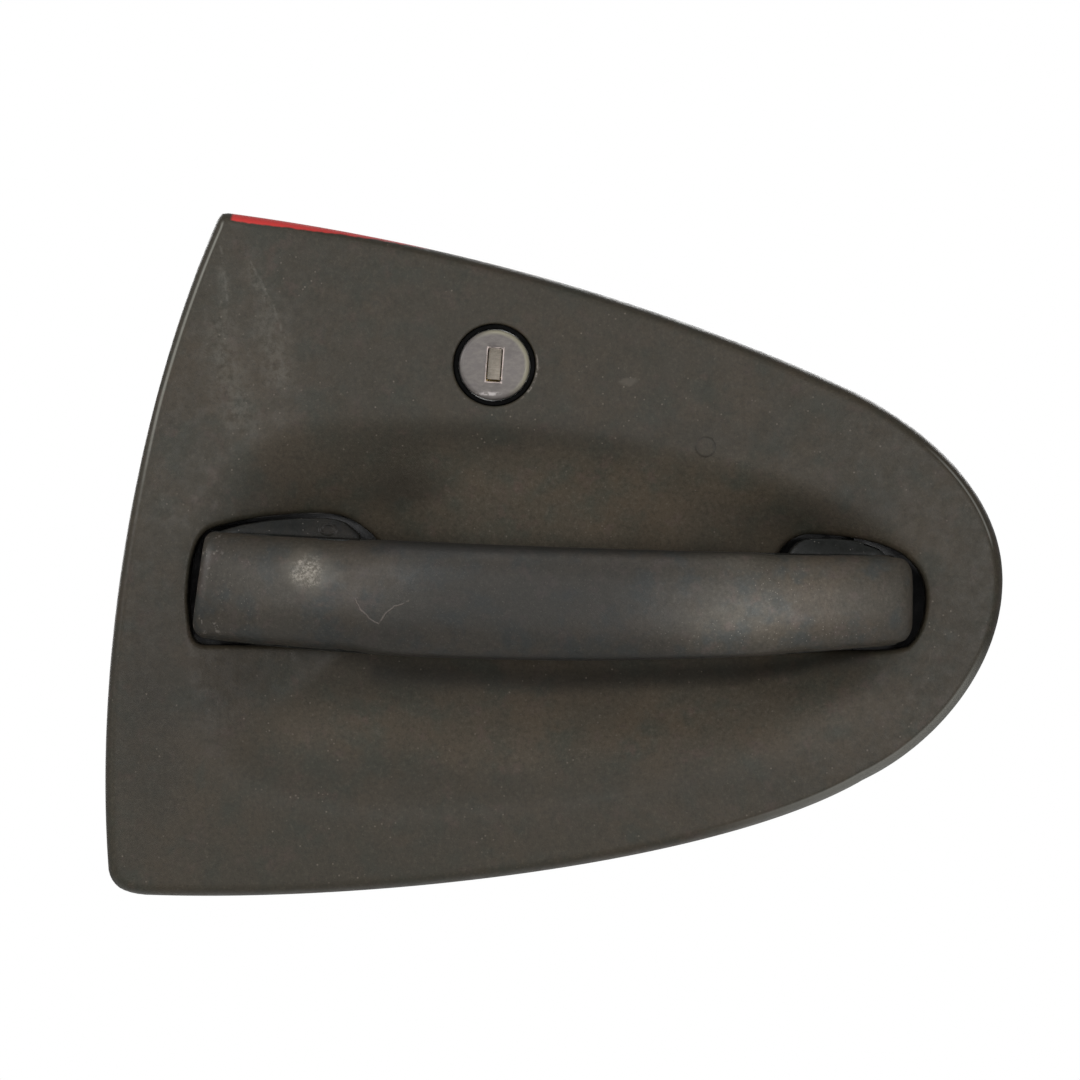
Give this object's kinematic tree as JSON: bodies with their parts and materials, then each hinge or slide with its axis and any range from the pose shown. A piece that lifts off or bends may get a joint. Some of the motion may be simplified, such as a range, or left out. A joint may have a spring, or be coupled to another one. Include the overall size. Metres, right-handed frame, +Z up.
{
  "type": "car door handle",
  "caption": "Exterior car door handle: shield-shaped recessed panel, hinged pull grip and key lock, with carrier frame, bell crank and lock cylinder behind.",
  "frame": {"origin": "centre of the opening in the door, on the outer face of the door skin, which the panel's gasket lies on", "axes": "+X towards the front of the car, +Y into the door, +Z up; the panel's face looks along -Y"},
  "size_m": [0.2335, 0.0754, 0.1777],
  "materials": {
    "panel_plastic": "fine moulded grain, dark grey-brown black",
    "grip_plastic": "fine moulded grain, semi-gloss where worn",
    "frame_plastic": "glass-filled nylon",
    "rubber": "matt",
    "bush_plastic": "natural acetal",
    "clip_plastic": "coloured acetal",
    "lock_face_metal": "dull worn satin metal",
    "zinc": "zinc die casting, grey and slightly rough",
    "steel": "zinc plated",
    "spring_steel": "drawn spring steel",
    "brass": "stamped"
  },
  "bodies": {
    "handle_body": {"panel": "panel_plastic", "panel_gasket": "rubber", "carrier": "frame_plastic", "carrier_screw_1": "steel", "carrier_screw_2": "steel", "carrier_screw_3": "steel", "carrier_screw_4": "steel", "carrier_screw_5": "steel", "mounting_stud_1": "steel", "mounting_stud_2": "steel", "mounting_stud_3": "steel", "bump_stop_1": "rubber", "bump_stop_2": "rubber", "hinge_pin": "steel", "hinge_pin_clip": "spring_steel", "hinge_bush_upper": "bush_plastic", "hinge_bush_lower": "bush_plastic", "crank_pin": "steel", "crank_pin_clip": "spring_steel", "lock_housing": "zinc", "lock_seal": "rubber", "lock_housing_clip": "spring_steel", "lock_return_spring": "spring_steel"},
    "grip": {"grip_cover": "grip_plastic", "grip_base": "grip_plastic", "grip_stiffener": "steel", "grip_screw_1": "steel", "grip_screw_2": "steel", "pull_arm": "steel", "pull_arm_rivet": "steel"},
    "crank": {"bell_crank": "zinc", "counterweight": "zinc", "counterweight_rivet": "steel", "latch_rod_clip": "clip_plastic", "crank_spring": "spring_steel"},
    "lock_cylinder": {"lock_plug": "zinc", "lock_face": "lock_face_metal", "lock_wafer_1": "brass", "lock_wafer_2": "brass", "lock_wafer_3": "brass", "lock_wafer_4": "brass", "lock_wafer_5": "brass", "lock_wafer_6": "brass", "lock_wafer_7": "brass", "lock_cam": "zinc", "lock_cam_clip": "spring_steel"},
    "shutter": {"key_shutter": "lock_face_metal"}
  },
  "joints": [
    {"name": "grip_pull", "type": "hinge", "parent": "handle_body", "child": "grip", "pos_m": [0.074, 0.008, -0.011], "axis": [0, 0, 1], "range_deg": [0, 9.5]},
    {"name": "crank_turn", "type": "hinge", "parent": "handle_body", "child": "crank", "pos_m": [-0.068, 0.02, 0.024], "axis": [-1, 0, 0], "range_deg": [0, 46.05], "stiffness_Nm_per_rad": 0.3, "springref_deg": -45.84, "deforming": ["crank_spring"]},
    {"name": "key_turn", "type": "hinge", "parent": "handle_body", "child": "lock_cylinder", "pos_m": [-0.0157, 0, 0.049], "axis": [0, 1, 0], "range_deg": [-70, 70], "stiffness_Nm_per_rad": 0.08, "deforming": ["lock_return_spring"]},
    {"name": "shutter_swing", "type": "hinge", "parent": "lock_cylinder", "child": "shutter", "pos_m": [-0.01538, -0.01, 0.05319], "axis": [0.9972, 0, -0.075], "range_deg": [0, 75], "stiffness_Nm_per_rad": 0.0005, "springref_deg": -17.19}
  ],
  "couplings": [
    {"joint": "crank_turn", "follows": "grip_pull", "ratio": 4.8421}
  ]
}
